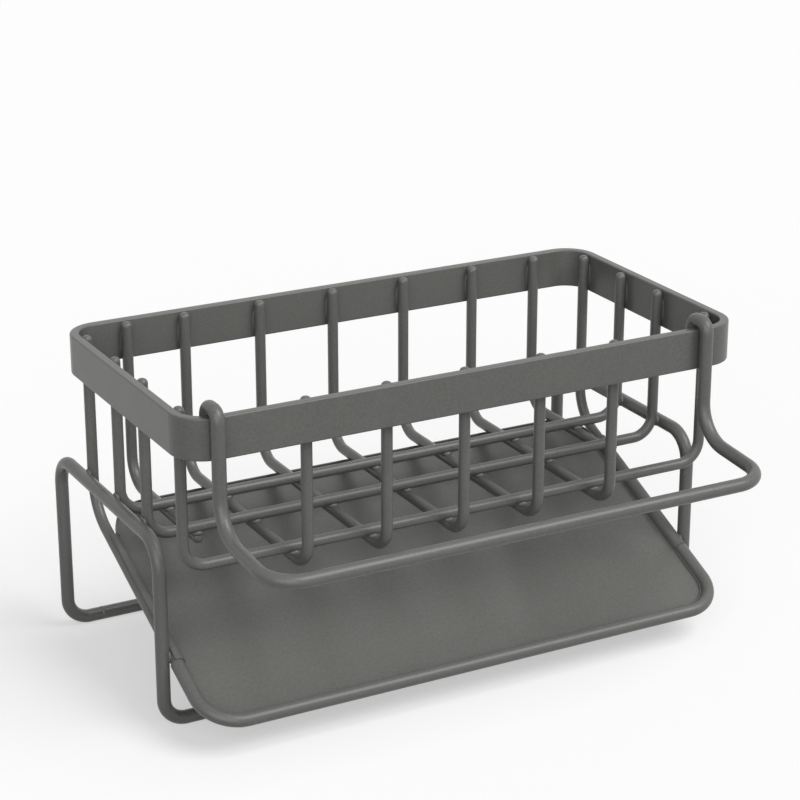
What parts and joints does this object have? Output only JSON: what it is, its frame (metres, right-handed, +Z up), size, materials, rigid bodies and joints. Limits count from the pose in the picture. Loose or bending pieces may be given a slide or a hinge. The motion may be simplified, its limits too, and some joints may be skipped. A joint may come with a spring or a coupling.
{
  "type": "kitchen sink caddy",
  "caption": "Wire basket under a flat rounded rim on a bent wire stand, with a sloping slide-out drip tray and a lift-off towel rail.",
  "frame": {"origin": "on the counter, under the middle of the whole outline", "axes": "+X along the rim to the right, +Y from the towel rail to the back, +Z up from the counter"},
  "size_m": [0.2524, 0.1928, 0.1459],
  "materials": {
    "wire_coat": "matte grey powder coat on wire",
    "band_coat": "matte grey powder coat on flat bar",
    "sheet_coat": "matte grey powder coat on sheet"
  },
  "bodies": {
    "caddy": {"rim_band": "band_coat", "long_wire_front": "wire_coat", "long_wire_middle": "wire_coat", "long_wire_rear": "wire_coat", "cross_wire_1": "wire_coat", "cross_wire_2": "wire_coat", "cross_wire_3": "wire_coat", "cross_wire_4": "wire_coat", "cross_wire_5": "wire_coat", "rear_corner_wire_left": "wire_coat", "rear_corner_wire_right": "wire_coat", "tray_rail_left": "wire_coat", "tray_rail_right": "wire_coat", "stand_left": "wire_coat", "stand_right": "wire_coat", "front_floor_bar": "wire_coat", "rear_floor_bar": "wire_coat"},
    "towel_rail": {"towel_rail": "wire_coat"},
    "drip_tray": {"tray_pan": "sheet_coat", "tray_front_rod": "wire_coat"}
  },
  "joints": [
    {"name": "towel_rail_lift", "type": "slide", "parent": "caddy", "child": "towel_rail", "axis": [0, 0, 1], "range_m": [0, 0.03]},
    {"name": "tray_slide", "type": "slide", "parent": "caddy", "child": "drip_tray", "axis": [0, -1, 0], "range_m": [0, 0.12]}
  ]
}
